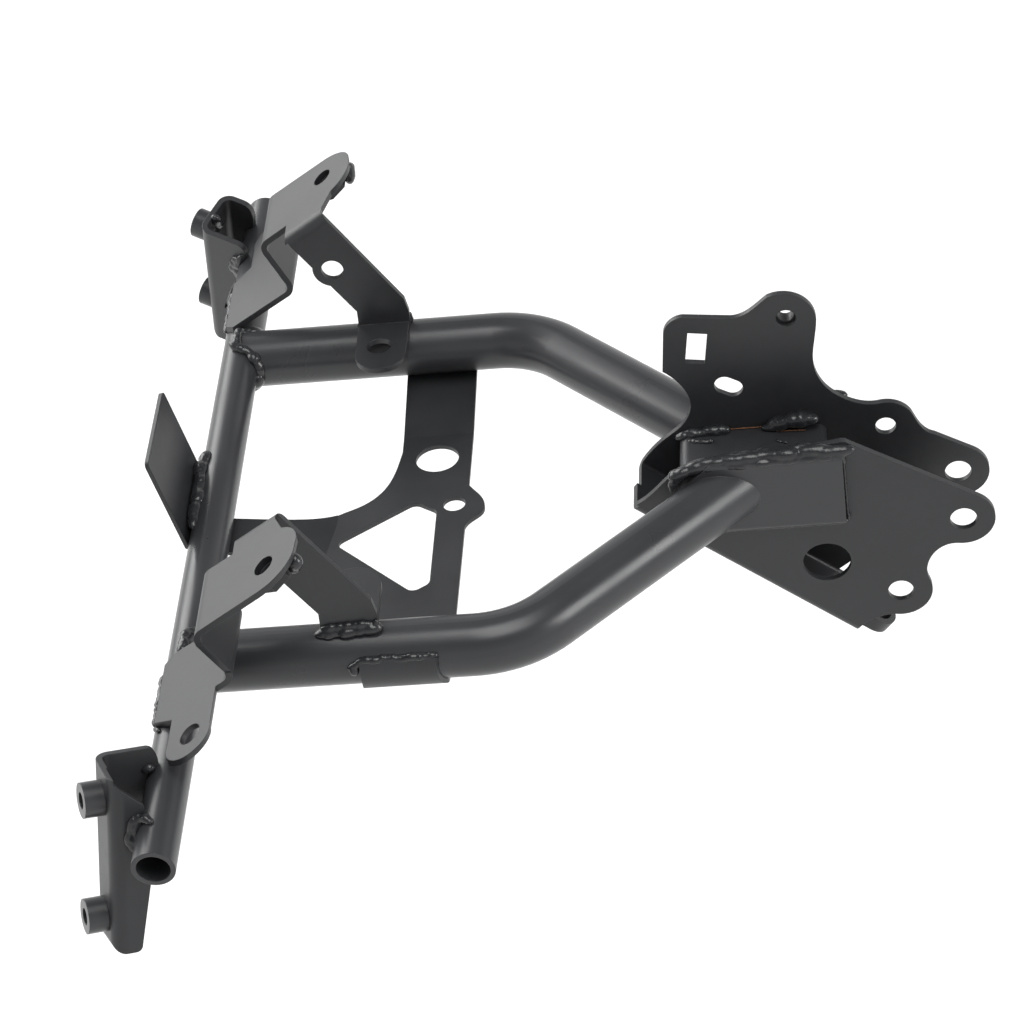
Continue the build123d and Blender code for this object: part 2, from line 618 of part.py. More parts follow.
def end_bracket(outer_top):
    """Left channel whose outer wall has the given upper rear outline."""
    with BuildPart() as channel:
        with BuildSketch(box_plane) as box:
            with Locations((BOX_WIDTH / 2, BOX_DEPTH / 2)):
                Rectangle(BOX_WIDTH, BOX_DEPTH)
            fillet(box.vertices().group_by(Axis.Y)[0], BOX_FOLD)
            with Locations((BOX_WIDTH / 2, BOX_DEPTH / 2 + SHEET)):
                Rectangle(BOX_WIDTH - 2 * SHEET, BOX_DEPTH, mode=Mode.SUBTRACT)
            corners = box.vertices().filter_by(lambda v: abs(v.Y - SHEET) < 0.001)
            fillet(corners, BOX_FOLD - SHEET)
        extrude(amount=-BOX_HEIGHT)
        # rear edge of the inner wall
        with BuildSketch(side_plane.offset(-1)):
            inner_low = (9.9, 9.1 - BOX_HEIGHT)
            with BuildLine():
                Spline(
                    (20.5, 0),
                    (23.9, -1.6),
                    (25.5, -6.0),
                    (25.4, -11.5),
                    (23.8, -18.5),
                    (15.9, -34),
                    (12.4, -50),
                    inner_low,
                    tangents=((1, 0), (-0.3, -1)),
                )
                Polyline(inner_low, (8.6, -BOX_HEIGHT - 1), (60, -BOX_HEIGHT - 1), (60, 2), (20.5, 2))
                Line((20.5, 2), (20.5, 0))
            make_face()
        extrude(amount=BOX_WIDTH / 2 + 1, mode=Mode.SUBTRACT)
        # rear edge of the outer wall
        with BuildSketch(side_plane.offset(BOX_WIDTH / 2)):
            outer_low = (12.3, 12.8 - BOX_HEIGHT)
            start, end = outer_top[0], outer_top[-1]
            with BuildLine():
                if len(outer_top) > 2:
                    Spline(*outer_top)
                else:
                    Line(start, end)
                Polyline(end, (15.6, -30), (15.1, -47.3), outer_low)
                Polyline(outer_low, (10.4, -BOX_HEIGHT - 1), (60, -BOX_HEIGHT - 1), (60, 2), (start[0], 2))
                Line((start[0], 2), start)
            make_face()
        extrude(amount=BOX_WIDTH / 2 + 1, mode=Mode.SUBTRACT)
        # lower edge, cut on the slant
        with BuildSketch(face_plane.offset(1)):
            with BuildLine():
                Polyline(
                    (-1, 2),
                    (BOX_WIDTH + 1, 2),
                    (BOX_WIDTH + 1, 3.8 - BOX_HEIGHT),
                    (-1, -0.2 - BOX_HEIGHT),
                    close=True,
                )
            make_face()
        extrude(amount=-BOX_DEPTH - 5, mode=Mode.INTERSECT)
        add(round_off(toe_plane.offset(-2), BOX_TOE, BOX_WIDTH + 6), mode=Mode.SUBTRACT)
        low_rear = box_corner + box_across * (BOX_WIDTH - SHEET / 2)
        low_rear += box_plane.y_dir * 10.9 - box_up * (BOX_HEIGHT - 3.7)
        fillet(channel.edges().sort_by_distance(low_rear)[0], BOX_HEEL)
        # coped round the cross tube
        with BuildSketch(Plane.YZ.offset(CROSS_LENGTH / 2 - 2 * BOX_DEPTH)):
            with Locations(front(0, 0)):
                Circle(cross_r)
        extrude(amount=2 * BOX_DEPTH + 2, mode=Mode.SUBTRACT)
        # bolt holes behind the bosses
        with BuildSketch(face_plane.offset(1)):
            for down in BOSS_AT:
                with Locations((BOSS_ACROSS, -down)):
                    Circle(THREAD_HOLE / 2)
        extrude(amount=-SHEET - 2, mode=Mode.SUBTRACT)
    return channel.part


# the left outer wall slopes down to the cross tube, the right one stands over it
with BuildPart() as left_end_bracket:
    add(end_bracket([(2.0, -1.7), (13.0, -11.3)]))


def boss(down):
    with BuildPart() as stud:
        with BuildSketch(face_plane):
            with Locations((BOSS_ACROSS, -down)):
                Circle(BOSS_OD / 2)
                Circle(THREAD_HOLE / 2, mode=Mode.SUBTRACT)
        extrude(amount=BOSS_LENGTH)
    return stud.part


with BuildPart() as left_upper_boss:
    add(boss(BOSS_AT[0]))

with BuildPart() as left_lower_boss:
    add(boss(BOSS_AT[1]))

with BuildPart() as right_end_bracket:
    whole_wall = [(11.5, 0), (14.8, -1.6), (16.4, -5.2), (16.6, -10.0)]
    mirror(end_bracket(whole_wall), about=Plane.YZ)

with BuildPart() as right_upper_boss:
    mirror(left_upper_boss.part, about=Plane.YZ)

with BuildPart() as right_lower_boss:
    mirror(left_lower_boss.part, about=Plane.YZ)

# Front tab, leaning against the cross tube
lean = radians(FRONT_TAB_LEAN)
tab_back = Vector(0, cos(lean), sin(lean))
tab_root = Vector(0, -REACH, DROP) - tab_back * cross_r

with BuildPart() as front_tab:
    with BuildSketch(Plane(origin=tab_root, x_dir=(1, 0, 0), z_dir=-tab_back)) as tab_face:
        with Locations(((FRONT_TAB_LEFT + FRONT_TAB_RIGHT) / 2, (FRONT_TAB_UP - FRONT_TAB_DOWN) / 2)):
            Rectangle(FRONT_TAB_LEFT - FRONT_TAB_RIGHT, FRONT_TAB_UP + FRONT_TAB_DOWN)
        fillet(tab_face.vertices(), 2.5)
    extrude(amount=FRONT_TAB_T)

# Lower plate: one strip from arm to arm, then its outline
arm_low = arm_z - ARM_OD / 2
fold_low = arm_low - PLATE_SAG
wrap_r = ARM_OD / 2

with BuildPart() as strip_outline:
    with BuildSketch(Plane.XY.offset(arm_low - 30)):
        with BuildLine():
            Polyline(
                (-ARM_X - 4, 107.0 - REACH),
                (-ARM_X - 4, 75.0 - REACH),
                (-47.0, 75.6 - REACH),
            )
            Spline(
                (-47.0, 75.6 - REACH),
                (-31.0, 73.0 - REACH),
                (-19.6, 68.8 - REACH),
                (-11.8, 62.4 - REACH),
                (-6.2, 53.1 - REACH),
                (-3.0, 46.0 - REACH),
            )
            Polyline((-3.0, 46.0 - REACH), (24.0, 46.0 - REACH), (52.0, 70.5 - REACH))
            Polyline(
                (52.0, 70.5 - REACH),
                (ARM_X + 8, 70.5 - REACH),
                (ARM_X + 17, 72.0 - REACH),
                (ARM_X + 17, 101.5 - REACH),
                (ARM_X + 8, 105.5 - REACH),
                (9.5, 106.4 - REACH),
            )
            Spline(
                (9.5, 106.4 - REACH),
                (5.0, 108.6 - REACH),
                (-1.2, 113.9 - REACH),
                (-9.0, 113.6 - REACH),
                (-14.5, 110.5 - REACH),
                (-19.9, 106.8 - REACH),
            )
            Line((-19.9, 106.8 - REACH), (-ARM_X - 4, 107.0 - REACH))
        make_face()
    extrude(amount=60)

with BuildPart() as lower_plate:
    with BuildSketch(Plane.XZ.offset(REACH - 40)):
        with BuildLine():
            CenterArc((ARM_X, arm_z), wrap_r, WRAP_FROM, -90 - WRAP_FROM)
            Polyline(
                (ARM_X, arm_low), (PLATE_FOLD_X, fold_low), (-ARM_X, arm_low), (-ARM_X - 8, arm_low + 0.3)
            )
            offset(amount=PLATE_T, side=Side.LEFT)
        make_face()
    extrude(amount=-80)
    add(strip_outline.part, mode=Mode.INTERSECT)
    # front strip, rising to the cross tube's underside
    rise = tan(radians(PLATE_RISE))
    strip_top = cross_r / cos(radians(PLATE_RISE))
    with BuildSketch(Plane.YZ.offset(-7.4)):
        with BuildLine():
            Polyline(
                front(-2.5, -strip_top + 2.5 * rise),
                front(50.0, -strip_top - 50.0 * rise),
                front(50.0, -strip_top - 50.0 * rise - PLATE_T),
                front(-2.5, -strip_top + 2.5 * rise - PLATE_T),
                close=True,
            )
        make_face()
    extrude(amount=31.4)
    with BuildSketch(Plane.XY.offset(arm_low - 30)):
        with BuildLine():
            Spline(
                (1.9, -4.0 - REACH),
                (1.5, 6.3 - REACH),
                (0.2, 29.8 - REACH),
                (-1.7, 42.5 - REACH),
                (-6.2, 53.1 - REACH),
            )
            Polyline(
                (-6.2, 53.1 - REACH), (-12.0, 53.1 - REACH), (-12.0, -5.0 - REACH), (1.9, -4.0 - REACH)
            )
        make_face()
    extrude(amount=60, mode=Mode.SUBTRACT)
    # openings
    with BuildSketch(Plane.XY.offset(arm_low - 30)) as openings:
        with BuildLine():
            Polyline(
                (15.3, 50.0 - REACH),
                (-10.4, 83.6 - REACH),
                (-3.2, 93.5 - REACH),
                (46.6, 93.4 - REACH),
                (51.8, 86.3 - REACH),
                close=True,
            )
        make_face()
        fillet(openings.vertices(), 4.0)
        with Locations((PLATE_HOLE_AT[0], PLATE_HOLE_AT[1] - REACH)):
            Circle(PLATE_HOLE / 2)
        with Locations((EAR_HOLE_AT[0], EAR_HOLE_AT[1] - REACH)):
            Circle(EAR_HOLE / 2)
    extrude(amount=60, mode=Mode.SUBTRACT)
    # clear of both tubes
    add(left_arm.part, mode=Mode.SUBTRACT)
    add(right_arm.part, mode=Mode.SUBTRACT)

# Weld beads
paddle_top = arm_z + PADDLE_H / 2

with BuildPart() as left_head_weld:
    with BuildSketch(Plane(origin=(plate_face + WELD_R / 4, HEAD_WELD_FRONT, paddle_top), z_dir=(0, 1, 0))):
        Circle(WELD_R)
    extrude(amount=PADDLE_REAR - HEAD_WELD_FRONT)
    add(left_arm.part, mode=Mode.SUBTRACT)
    add(head_bracket.part, mode=Mode.SUBTRACT)

with BuildPart() as right_head_weld:
    mirror(left_head_weld.part, about=Plane.YZ)
    add(head_bracket.part, mode=Mode.SUBTRACT)

with BuildPart() as gusset_weld:
    gusset_weld_start = (-HEAD_GAP / 2 + GUSSET_WELD_R / 4, GUSSET_FRONT + 5.2, GUSSET_TOP)
    with BuildSketch(Plane(origin=gusset_weld_start, z_dir=(0, 1, 0))):
        Circle(GUSSET_WELD_R)
    extrude(amount=GUSSET_WELD_LENGTH)
    add(head_gusset.part, mode=Mode.SUBTRACT)
    add(head_bracket.part, mode=Mode.SUBTRACT)

with BuildPart() as tab_weld:
    with BuildSketch(Plane.YZ.offset(FRONT_TAB_RIGHT + 1)):
        with Locations(front(tab_root.Y + REACH + 1.4, tab_root.Z - DROP + TAB_WELD_UP)):
            Circle(WELD_R)
    extrude(amount=TAB_WELD_LENGTH)
    split(bisect_by=Plane(origin=tab_root, x_dir=(1, 0, 0), z_dir=tab_back), keep=Keep.TOP)
    with BuildSketch(Plane.YZ.offset(FRONT_TAB_RIGHT)):
        with Locations(front(0, 0)):
            Circle(cross_r)
    extrude(amount=TAB_WELD_LENGTH + 5, mode=Mode.SUBTRACT)

cross_tube.part.label = "cross_tube"
left_arm.part.label = "left_arm"
right_arm.part.label = "right_arm"
head_bracket.part.label = "head_bracket"
head_gusset.part.label = "head_gusset"
head_nut.part.label = "head_nut"
left_upper_bracket.part.label = "left_upper_bracket"
right_upper_bracket.part.label = "right_upper_bracket"
left_upper_nut.part.label = "left_upper_nut"
right_upper_nut.part.label = "right_upper_nut"
left_end_bracket.part.label = "left_end_bracket"
right_end_bracket.part.label = "right_end_bracket"
left_upper_boss.part.label = "left_upper_boss"
left_lower_boss.part.label = "left_lower_boss"
right_upper_boss.part.label = "right_upper_boss"
right_lower_boss.part.label = "right_lower_boss"
front_tab.part.label = "front_tab"
lower_plate.part.label = "lower_plate"
left_head_weld.part.label = "left_head_weld"
right_head_weld.part.label = "right_head_weld"
gusset_weld.part.label = "gusset_weld"
tab_weld.part.label = "tab_weld"

export_step(cross_tube.part, "parts/cross_tube.step")
export_step(left_arm.part, "parts/left_arm.step")
export_step(right_arm.part, "parts/right_arm.step")
export_step(head_bracket.part, "parts/head_bracket.step")
export_step(head_gusset.part, "parts/head_gusset.step")
export_step(head_nut.part, "parts/head_nut.step")
export_step(left_upper_bracket.part, "parts/left_upper_bracket.step")
export_step(right_upper_bracket.part, "parts/right_upper_bracket.step")
export_step(left_upper_nut.part, "parts/left_upper_nut.step")
export_step(right_upper_nut.part, "parts/right_upper_nut.step")
export_step(left_end_bracket.part, "parts/left_end_bracket.step")
export_step(right_end_bracket.part, "parts/right_end_bracket.step")
export_step(left_upper_boss.part, "parts/left_upper_boss.step")
export_step(left_lower_boss.part, "parts/left_lower_boss.step")
export_step(right_upper_boss.part, "parts/right_upper_boss.step")
export_step(right_lower_boss.part, "parts/right_lower_boss.step")
export_step(front_tab.part, "parts/front_tab.step")
export_step(lower_plate.part, "parts/lower_plate.step")
export_step(left_head_weld.part, "parts/left_head_weld.step")
export_step(right_head_weld.part, "parts/right_head_weld.step")
export_step(gusset_weld.part, "parts/gusset_weld.step")
export_step(tab_weld.part, "parts/tab_weld.step")
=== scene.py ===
import json
import math
import random

import bpy
from mathutils import Matrix, Vector


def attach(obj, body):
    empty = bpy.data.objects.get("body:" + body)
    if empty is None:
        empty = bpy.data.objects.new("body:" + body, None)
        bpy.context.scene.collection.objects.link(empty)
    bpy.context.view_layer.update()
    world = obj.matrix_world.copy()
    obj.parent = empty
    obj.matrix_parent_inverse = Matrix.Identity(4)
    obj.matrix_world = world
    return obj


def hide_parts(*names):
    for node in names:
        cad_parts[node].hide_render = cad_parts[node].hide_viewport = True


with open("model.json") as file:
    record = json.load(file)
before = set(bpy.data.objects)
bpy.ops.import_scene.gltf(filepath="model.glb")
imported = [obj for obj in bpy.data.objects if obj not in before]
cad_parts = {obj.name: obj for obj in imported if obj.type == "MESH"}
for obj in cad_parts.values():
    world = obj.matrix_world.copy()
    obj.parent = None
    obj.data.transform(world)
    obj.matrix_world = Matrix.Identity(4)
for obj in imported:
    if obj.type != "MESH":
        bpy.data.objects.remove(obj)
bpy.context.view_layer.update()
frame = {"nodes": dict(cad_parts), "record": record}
mm = 0.001
print("frame loaded:", len(frame["nodes"]), "nodes")


def linear(hexColour):
    # sRGB hex to linear rgba
    channels = [int(hexColour[i:i + 2], 16) / 255 for i in (1, 3, 5)]
    return [c / 12.92 if c <= 0.04045 else ((c + 0.055) / 1.055) ** 2.4 for c in channels] + [1]


def addNode(tree, kind, settings=None, inputs=None, links=None):
    # one shader node with its settings, socket values and incoming links
    node = tree.nodes.new(kind)
    for name, value in (settings or {}).items():
        setattr(node, name, value)
    for name, value in (inputs or {}).items():
        node.inputs[name].default_value = value
    for name, source in (links or {}).items():
        tree.links.new(source, node.inputs[name])
    return node


bpy.context.scene.view_settings.view_transform = "Standard"

# camera, solved from the photograph
view = {
    "place": (1.0502, -0.04905, 0.8624),
    "forward": (-0.77098, -0.10518, -0.62811),
    "right": (-0.0371, 0.9920, -0.1205),
    "lens": 110.85,
    "sensor": 36,
}


def makeCamera():
    data = bpy.data.cameras.new("photoCamera")
    data.lens = view["lens"]
    data.sensor_width = view["sensor"]
    data.clip_start = 0.05
    data.clip_end = 20
    camera = bpy.data.objects.new("photoCamera", data)
    bpy.context.scene.collection.objects.link(camera)
    back = -Vector(view["forward"]).normalized()
    right = Vector(view["right"])
    right = (right - back * right.dot(back)).normalized()
    up = back.cross(right)
    turn = Matrix((right, up, back)).transposed()
    camera.matrix_world = Matrix.Translation(view["place"]) @ turn.to_4x4()
    bpy.context.scene.camera = camera


makeCamera()
print("camera set")

# finishes

coat = {
    "steelBlack": "#242527",
    # tubes and bosses wear the same coat as the sheets, painted a shade lighter here: a painted highlight
    # standing in for the lamps' sheen on them
    "tubeBlackWithPaintedHighlight": "#333436",
    "dustGrey": "#3a3b3d",
    "sheetRough": 0.42,
    "tubeRough": 0.3,
    "beadRough": 0.22,
    "cloudSize": 38,  # mm, the dust's patches
    "peelSize": 1.6,  # mm between the soft waves that sprayed powder leaves
    "grainSize": 0.35,  # mm, the powder's own grain
    "edgeRound": 0.5,  # mm, where the coat runs over a cut edge
    "rustSize": 3,  # mm, the rust's patches
    "rust": "#6e4a31",
    "rustDeep": "#4a3324",
}


def perMetre(sizeInMm):
    # a noise scale that gives one wave for each such length
    return 1 / (sizeInMm * mm)


def powderCoat(name, roughness, colour, peel, wear):
    # polyester powder baked on steel: near black, satin, with a soft orange peel
    material = bpy.data.materials.new(name)
    material.use_nodes = True
    tree = material.node_tree
    tree.nodes.clear()
    place = addNode(tree, "ShaderNodeTexCoord")
    cloud = addNode(tree, "ShaderNodeTexNoise", inputs={
        "Scale": perMetre(coat["cloudSize"]), "Detail": 4, "Roughness": 0.6},
        links={"Vector": place.outputs["Object"]})
    grain = addNode(tree, "ShaderNodeTexNoise", inputs={
        "Scale": perMetre(coat["grainSize"]), "Detail": 2, "Roughness": 0.5},
        links={"Vector": place.outputs["Object"]})
    waves = addNode(tree, "ShaderNodeTexNoise", inputs={
        "Scale": perMetre(coat["peelSize"]), "Detail": 3, "Roughness": 0.55},
        links={"Vector": place.outputs["Object"]})
    dirt = addNode(tree, "ShaderNodeValToRGB", links={"Fac": cloud.outputs["Fac"]})
    dirt.color_ramp.elements[0].position = 0.35
    dirt.color_ramp.elements[0].color = linear(colour)
    dirt.color_ramp.elements[1].position = 0.75
    dirt.color_ramp.elements[1].color = linear(coat["dustGrey"])
    mottled = addNode(tree, "ShaderNodeMix", {"data_type": "RGBA"}, {"Factor": wear, "A": linear(colour)},
                      {"B": dirt.outputs["Color"]})
    gloss = addNode(tree, "ShaderNodeMapRange", inputs={
        "From Min": 0.3, "From Max": 0.7, "To Min": roughness - 0.04, "To Max": roughness + 0.05},
        links={"Value": cloud.outputs["Fac"]})
    softEdge = addNode(tree, "ShaderNodeBevel", {"samples": 6}, {"Radius": coat["edgeRound"] * mm})
    fine = addNode(tree, "ShaderNodeBump", inputs={"Strength": 0.12, "Distance": 0.05 * mm},
                   links={"Height": grain.outputs["Fac"], "Normal": softEdge.outputs["Normal"]})
    soft = addNode(tree, "ShaderNodeBump", inputs={"Strength": peel, "Distance": 0.12 * mm},
                   links={"Height": waves.outputs["Fac"], "Normal": fine.outputs["Normal"]})
    shader = addNode(tree, "ShaderNodeBsdfPrincipled", inputs={"IOR": 1.5}, links={
        "Base Color": mottled.outputs["Result"], "Roughness": gloss.outputs["Result"],
        "Normal": soft.outputs["Normal"]})
    addNode(tree, "ShaderNodeOutputMaterial", links={"Surface": shader.outputs["BSDF"]})
    return material


def rustedSeam():
    # bare weld root where the coat never ran in: brown iron oxide, matt and patchy
    material = bpy.data.materials.new("rustedWeldRoot")
    material.use_nodes = True
    tree = material.node_tree
    tree.nodes.clear()
    place = addNode(tree, "ShaderNodeTexCoord")
    patch = addNode(tree, "ShaderNodeTexNoise", inputs={
        "Scale": perMetre(coat["rustSize"]), "Detail": 5, "Roughness": 0.7},
        links={"Vector": place.outputs["Object"]})
    ramp = addNode(tree, "ShaderNodeValToRGB", links={"Fac": patch.outputs["Fac"]})
    ramp.color_ramp.elements[0].position = 0.35
    ramp.color_ramp.elements[0].color = linear(coat["rustDeep"])
    ramp.color_ramp.elements[1].position = 0.6
    ramp.color_ramp.elements[1].color = linear(coat["rust"])
    rough = addNode(tree, "ShaderNodeBump", inputs={"Strength": 0.5, "Distance": 0.1 * mm},
                    links={"Height": patch.outputs["Fac"]})
    shader = addNode(tree, "ShaderNodeBsdfPrincipled", inputs={"Roughness": 0.85}, links={
        "Base Color": ramp.outputs["Color"], "Normal": rough.outputs["Normal"]})
    addNode(tree, "ShaderNodeOutputMaterial", links={"Surface": shader.outputs["BSDF"]})
    return material


sheetCoat = powderCoat("satinPowderCoatOnSheet", coat["sheetRough"], coat["steelBlack"], 0.25, 0.35)
# tubes and bosses take the lighter base colour, a painted highlight
tubeCoat = powderCoat("satinPowderCoatOnTube", coat["tubeRough"], coat["tubeBlackWithPaintedHighlight"], 0.1, 0.25)
nutCoat = powderCoat("powderCoatOnNuts", coat["sheetRough"], coat["steelBlack"], 0.3, 0.3)
bossCoat = powderCoat("powderCoatOnTurnedBosses", coat["tubeRough"], coat["tubeBlackWithPaintedHighlight"], 0.25, 0.3)
beadCoat = powderCoat("glossyCoatOnWeldBeads", coat["beadRough"], coat["steelBlack"], 0.5, 0.3)
rustCoat = rustedSeam()
finishOf = {
    "coated_tube": tubeCoat,
    "coated_sheet": sheetCoat,
    "coated_nut": nutCoat,
    "coated_boss": bossCoat,
    "coated_weld": beadCoat,
}
print("finishes made")

# CAD pieces keep their shape and take the coat

for part in frame["record"]["subparts"]:
    node = frame["nodes"][part["node"]]
    node.data.materials.clear()
    node.data.materials.append(finishOf[part["material_slot"]])
print("CAD pieces coated")

# weld beads: overlapping drops of molten steel, frozen in rows

fusion = {
    "voxel": 0.45,  # mm, finer than any ripple that shows
    "wander": 0.2,  # of a drop's radius
    "swell": 0.18,
    "stretch": (0.9, 1.9),
    "flat": 0.85,
    "smooth": 5,
}


def walk(path, gap):
    # even steps along a broken line, each with its direction
    points = [Vector(p) for p in path]
    steps = []
    left = 0.0
    for start, end in zip(points, points[1:]):
        span = (end - start).length
        along = (end - start) / span
        while left <= span:
            steps.append((start + along * left, along))
            left += gap
        left -= span
    return steps


def addDrop(place, along, radius, stretch, flat):
    turn = along.to_track_quat("Y", "Z").to_euler()
    bpy.ops.mesh.primitive_ico_sphere_add(
        subdivisions=2, radius=radius * mm, location=place * mm, rotation=turn)
    bpy.context.object.scale = (1, stretch, flat)
    return bpy.context.object


def weldBead(name, runs, seed, node=None, finish=None, voxel=None):
    # each run is a path in mm and its drops' radius, with their gap, stretch and wander where they differ
    dice = random.Random(seed)
    drops = []
    for run in runs:
        radius = run["radius"]
        for place, along in walk(run["path"], run.get("gap", 0.7) * radius):
            size = radius * (1 + dice.uniform(-1, 1) * fusion["swell"])
            shift = Vector([dice.uniform(-1, 1) * fusion["wander"] * radius for axis in range(3)])
            stretch = dice.uniform(*run.get("stretch", fusion["stretch"]))
            shift *= run.get("wander", 1)
            drops.append(addDrop(place + shift, along, size, stretch, fusion["flat"]))
    bpy.ops.object.select_all(action="DESELECT")
    for drop in drops:
        drop.select_set(True)
    bpy.context.view_layer.objects.active = drops[0]
    bpy.ops.object.join()
    bead = bpy.context.object
    bead.name = name
    bpy.ops.object.transform_apply(location=True, rotation=True, scale=True)
    fuse = bead.modifiers.new("fuse", "REMESH")
    fuse.mode = "VOXEL"
    fuse.voxel_size = (voxel or fusion["voxel"]) * mm
    fuse.use_smooth_shade = True
    bpy.ops.object.modifier_apply(modifier=fuse.name)
    settle = bead.modifiers.new("settle", "SMOOTH")
    settle.factor = 0.5
    settle.iterations = fusion["smooth"]
    bpy.ops.object.modifier_apply(modifier=settle.name)
    bpy.ops.object.shade_smooth()
    bead.data.materials.clear()
    bead.data.materials.append(finish or beadCoat)
    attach(bead, "root")
    if node:
        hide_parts(node)
    return bead


def mirrored(runs):
    return [dict(run, path=[(-x, y, z) for x, y, z in run["path"]]) for run in runs]


def shifted(path, by):
    return [tuple(Vector(point) + by) for point in path]


# between the flattened arm ends and the head plates

headRuns = [
    {"path": [(18.9, -109, 40.2), (18.6, -100, 41.4), (18.4, -75, 42.2), (18.2, -51, 42.8)],
     "radius": 2.9, "gap": 0.8, "stretch": (1.6, 3.0)},
    {"path": [(20.5, -108, 39.5), (20.5, -98, 40.2), (20.4, -52, 40.6)], "radius": 1.8, "gap": 1.8,
     "stretch": (1.6, 3.2)},
]
leftPlateSpill = [
    {"path": [(20.6, -119, 36.9), (19.4, -113, 39.2), (18.9, -108, 40.4)], "radius": 3.0, "gap": 0.8},
    {"path": [(16.6, -104, 41.2), (16.4, -84, 42.6), (16.2, -64, 43.8)], "radius": 2.0, "gap": 1.6,
     "stretch": (1.6, 3.2)},
    {"path": [(20.5, -117.5, 36.0), (21.6, -120.5, 33.4)], "radius": 1.9},
    {"path": [(22.6, -120.6, 32.6), (23.6, -121.2, 31.6)], "radius": 1.1},
    {"path": [(18.6, -50.0, 41.5), (18.2, -48.9, 37.0)], "radius": 1.5},
]
paddleRear = [
    {"path": [(18.2, -48.8, 38.5), (18.0, -48.5, 6.0)], "radius": 0.75, "gap": 0.7, "wander": 0.4},
    {"path": [(18.1, -48.3, 6.4), (18.1, -48.2, 5.4)], "radius": 1.2},
]
paddleLow = [
    {"path": [(18.6, -113, 5.0), (18.8, -90, 4.7), (18.8, -50, 4.7)], "radius": 1.7, "gap": 0.6,
     "wander": 0.3},
]
weldBead("leftHeadBead", headRuns + leftPlateSpill, 11, "left_head_weld")
weldBead("rightHeadBead", mirrored(headRuns), 12, "right_head_weld")
weldBead("leftPaddleRearBead", paddleRear, 13, voxel=0.3)
weldBead("rightPaddleRearBead", mirrored(paddleRear), 14, voxel=0.3)
weldBead("leftPaddleLowBead", paddleLow, 15)
weldBead("rightPaddleLowBead", mirrored(paddleLow), 16)

# between the stiffener and the right head plate: two patches, with a rusted seam between them

gussetRuns = [
    {"path": [(-13.6, -117.5, 30.8), (-13.3, -112, 32.3), (-13.3, -97, 32.6)], "radius": 2.5},
    {"path": [(-13.6, -76.5, 33.8), (-13.4, -73.5, 35.0)], "radius": 3.8},
    {"path": [(-13.4, -68.5, 35.8), (-13.4, -62.0, 35.8)], "radius": 4.0, "wander": 0.4},
    {"path": [(-12.8, -80, 33.0), (-11.8, -76, 33.2)], "radius": 1.6},
    {"path": [(-8.6, -112.6, 31.9), (-7.2, -106, 31.9), (-6.8, -103.5, 31.9)], "radius": 1.4, "gap": 1.2},
    {"path": [(-4.4, -76, 32.0), (-2.6, -72.0, 32.0)], "radius": 0.8, "gap": 1.6},
]
seamRuns = [
    {"path": [(-14.4, -96, 32.2), (-14.4, -79, 32.2)], "radius": 0.38, "gap": 0.9, "wander": 0.5},
    {"path": [(-11.0, -76, 32.0), (-10.4, -64, 32.0)], "radius": 0.38, "gap": 0.9, "wander": 0.5},
]
weldBead("gussetBead", gussetRuns, 21, "gusset_weld")
weldBead("gussetRustSeam", seamRuns, 22, finish=rustCoat, voxel=0.2)

# between the front tab and the cross tube

tabRuns = [
    {"path": [(-20.5, -325.6, 31.2), (-8, -325.8, 31.2), (6, -325.8, 31.0), (22, -325.8, 30.6)],
     "radius": 3.2, "gap": 0.8, "stretch": (1.2, 2.2)},
    {"path": [(-21, -324.6, 32.2), (-19, -324.8, 32.4)], "radius": 2.6},
]
weldBead("frontTabBead", tabRuns, 31, "tab_weld")

# round the arms' coped ends

crossAxis = (-318.75, 25.1)
armMiddle = (103.3, 23.43)
cope = {"tubeRadius": 8.65, "armRadius": 12.9, "bead": 2.3}


def copePath(first, last, steps):
    # where the arm's end meets the cross tube, by the angle round the arm
    points = []
    for i in range(steps + 1):
        angle = math.radians(first + (last - first) * i / steps)
        x = armMiddle[0] + cope["armRadius"] * math.cos(angle)
        z = armMiddle[1] + cope["armRadius"] * math.sin(angle)
        reach = max(0.0, (cope["tubeRadius"] + 0.9) ** 2 - (z - crossAxis[1]) ** 2)
        points.append((x, crossAxis[0] + math.sqrt(reach), z))
    return points


copeRuns = [
    {"path": copePath(-35, 215, 40), "radius": cope["bead"], "gap": 0.8},
    {"path": copePath(215, 325, 20), "radius": cope["bead"], "gap": 0.8},
    {"path": copePath(146, 168, 4), "radius": 3.0},
    {"path": copePath(190, 212, 4), "radius": 3.5},
    {"path": copePath(-20, 2, 4), "radius": 2.8, "gap": 0.8},
]
weldBead("leftArmBead", copeRuns, 41)
weldBead("rightArmBead", mirrored(copeRuns), 42)

# round the cross tube's ends, where the end brackets sit on it

boxAcross = Vector((0.8821, 0.4310, 0.1904))
boxAhead = Vector((0.3863, -0.8929, 0.2316))
outerSeam = [(201.4, -324.9, 31.2), (203.9, -327.4, 25.1), (204.0, -324.9, 19.0)]
innerSeam = [(172.3, -324.9, 31.2), (174.8, -327.4, 25.1), (174.9, -324.9, 19.0)]


def wallPatch(seam, outward):
    # three rows side by side on the bracket's wall, from the seam forward
    return [{"path": shifted(seam, boxAhead * ahead + outward * 0.3), "radius": radius, "gap": 0.5,
             "wander": 0.4} for ahead, radius in ((0.4, 2.6), (2.0, 2.3), (3.6, 2.0))]


